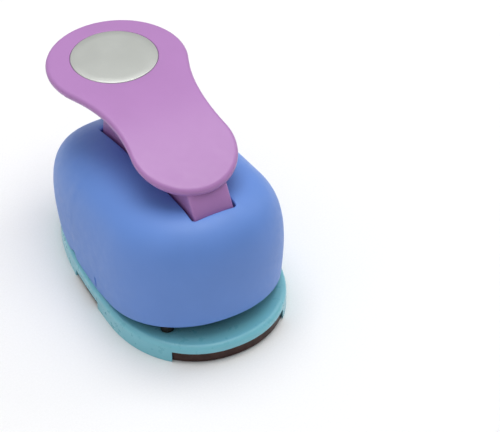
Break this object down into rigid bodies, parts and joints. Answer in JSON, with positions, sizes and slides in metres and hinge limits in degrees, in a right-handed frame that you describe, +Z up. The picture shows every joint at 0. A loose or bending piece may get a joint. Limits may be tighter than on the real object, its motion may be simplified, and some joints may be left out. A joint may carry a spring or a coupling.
{
  "type": "craft punch",
  "caption": "Lever craft punch that cuts round shapes from paper: a thumb lever drives a sprung cutter through a die in a flat base.",
  "frame": {"origin": "on the table, below the middle of the punch's length and width; the punch axis is 22.9 mm towards -Y", "axes": "+Z up, -Y towards the paper throat, +Y towards the thumb paddle, +X to the right seen from the throat's side looking back"},
  "size_m": [0.0756, 0.131, 0.081],
  "materials": {
    "base_plastic": "smooth moulded aqua plastic",
    "dark_sheet": "dark bronzed sheet steel",
    "die_steel": "ground tool steel",
    "dark_steel": "blackened steel",
    "cover_plastic": "satin moulded periwinkle plastic",
    "bright_steel": "bright turned steel",
    "spring_wire": "drawn spring wire",
    "nylon": "natural nylon",
    "lever_plastic": "smooth moulded orchid plastic",
    "label_silver": "satin silver disc, blank",
    "bronze": "sintered bronze"
  },
  "bodies": {
    "punch_body": {"base_tray": "base_plastic", "bottom_plate": "dark_sheet", "die_plate": "die_steel", "gauge_spacer": "die_steel", "guide_plate": "dark_steel", "upper_cover": "cover_plastic", "guide_posts": "bright_steel", "spring_washers": "bright_steel", "return_springs": "spring_wire", "post_clips": "bright_steel", "pivot_pin": "bright_steel", "pivot_washers": "nylon", "pivot_clips": "bright_steel", "die_screws": "bright_steel", "guide_screws": "dark_steel", "base_screws": "bright_steel"},
    "lever": {"lever_handle": "lever_plastic", "lever_badge": "label_silver", "roller_pin": "bright_steel"},
    "roller": {"load_roller": "bronze"},
    "ram": {"ram_block": "nylon", "ram_bushes": "bronze", "wear_plate": "die_steel", "punch_cutter": "die_steel", "cutter_screws": "bright_steel"}
  },
  "joints": [
    {"name": "lever_hinge", "type": "hinge", "parent": "punch_body", "child": "lever", "pos_m": [0, -0.0429, 0.038], "axis": [-1, 0, 0], "range_deg": [0, 12], "stiffness_Nm_per_rad": 1.2, "springref_deg": -14.32},
    {"name": "ram_slide", "type": "slide", "parent": "punch_body", "child": "ram", "axis": [0, 0, -1], "range_m": [0, 0.0042], "stiffness_N_per_m": 120, "springref_m": -0.005, "deforming": ["return_springs"]},
    {"name": "roller_spin", "type": "hinge", "parent": "lever", "child": "roller", "pos_m": [0, -0.0229, 0.038], "axis": [1, 0, 0], "continuous": true}
  ],
  "couplings": [
    {"joint": "ram_slide", "follows": "lever_hinge", "m_per_rad": 0.02}
  ]
}
